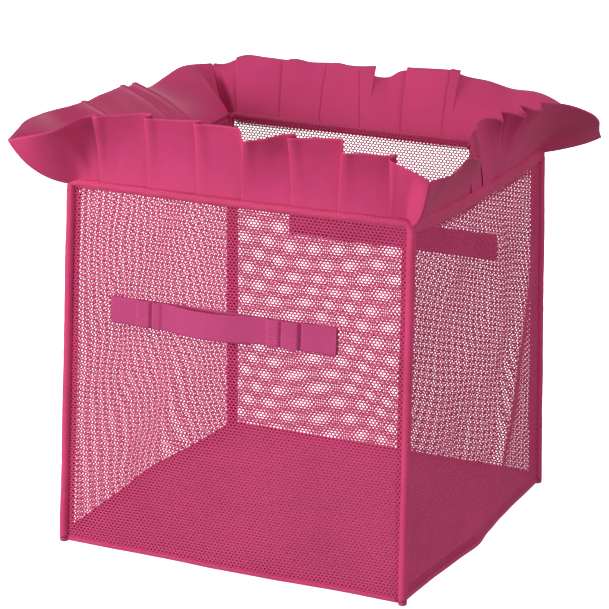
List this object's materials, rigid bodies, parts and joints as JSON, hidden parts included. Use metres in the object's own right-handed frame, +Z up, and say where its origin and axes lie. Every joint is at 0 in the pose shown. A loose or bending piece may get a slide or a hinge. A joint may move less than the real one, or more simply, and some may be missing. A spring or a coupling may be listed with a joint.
{
  "type": "mesh laundry bag",
  "caption": "Open-topped free-standing square mesh laundry bag with a pleated ruffle round the rim, webbing handles on two faces, a woven floor and two folding wire frames.",
  "frame": {"origin": "on the floor below the middle of the bag", "axes": "+Z up, the front face looks along -Y, +X to the right of someone facing the front"},
  "size_m": [0.454, 0.4266, 0.4307],
  "materials": {
    "mesh": "open warp-knit polyester mesh, matt",
    "cloth": "plain woven polyester, matt",
    "ruffle": "smooth taffeta, soft sheen",
    "webbing": "ribbed woven webbing",
    "steel": "drawn spring wire",
    "plastic": "moulded, satin"
  },
  "bodies": {
    "back_frame": {"back_frame_wire": "steel", "back_rim_piping": "cloth", "back_left_sleeve": "cloth", "back_left_tip": "plastic", "back_right_sleeve": "cloth", "back_right_tip": "plastic", "back_handle_base": "webbing", "back_handle_left_fold": "webbing", "back_handle_right_fold": "webbing", "back_mesh_wall": "mesh", "back_rim_facing": "mesh", "back_bottom_hem": "cloth", "back_ruffle": "ruffle", "left_mesh_wall": "mesh", "left_rim_facing": "mesh", "left_bottom_hem": "cloth", "left_ruffle": "ruffle", "right_mesh_wall": "mesh", "right_rim_facing": "mesh", "right_bottom_hem": "cloth", "right_ruffle": "ruffle", "left_rim_binding": "cloth", "right_rim_binding": "cloth", "floor_panel": "cloth"},
    "front_frame": {"front_frame_wire": "steel", "front_rim_piping": "cloth", "front_left_sleeve": "cloth", "front_left_tip": "plastic", "front_right_sleeve": "cloth", "front_right_tip": "plastic", "front_handle_base": "webbing", "front_handle_left_fold": "webbing", "front_handle_right_fold": "webbing", "front_mesh_wall": "mesh", "front_rim_facing": "mesh", "front_bottom_hem": "cloth", "front_ruffle": "ruffle"},
    "front_grip": {"front_handle_grip": "webbing"},
    "back_grip": {"back_handle_grip": "webbing"}
  },
  "joints": [
    {"name": "frame_fold", "type": "slide", "parent": "back_frame", "child": "front_frame", "axis": [0, 1, 0], "range_m": [0, 0.29], "deforming": ["floor_panel", "left_mesh_wall", "left_rim_facing", "left_bottom_hem", "left_ruffle", "left_rim_binding", "right_mesh_wall", "right_rim_facing", "right_bottom_hem", "right_ruffle", "right_rim_binding"]},
    {"name": "front_grip_pull", "type": "slide", "parent": "front_frame", "child": "front_grip", "axis": [0, -1, 0], "range_m": [0, 0.012]},
    {"name": "back_grip_pull", "type": "slide", "parent": "back_frame", "child": "back_grip", "axis": [0, 1, 0], "range_m": [0, 0.012]}
  ]
}
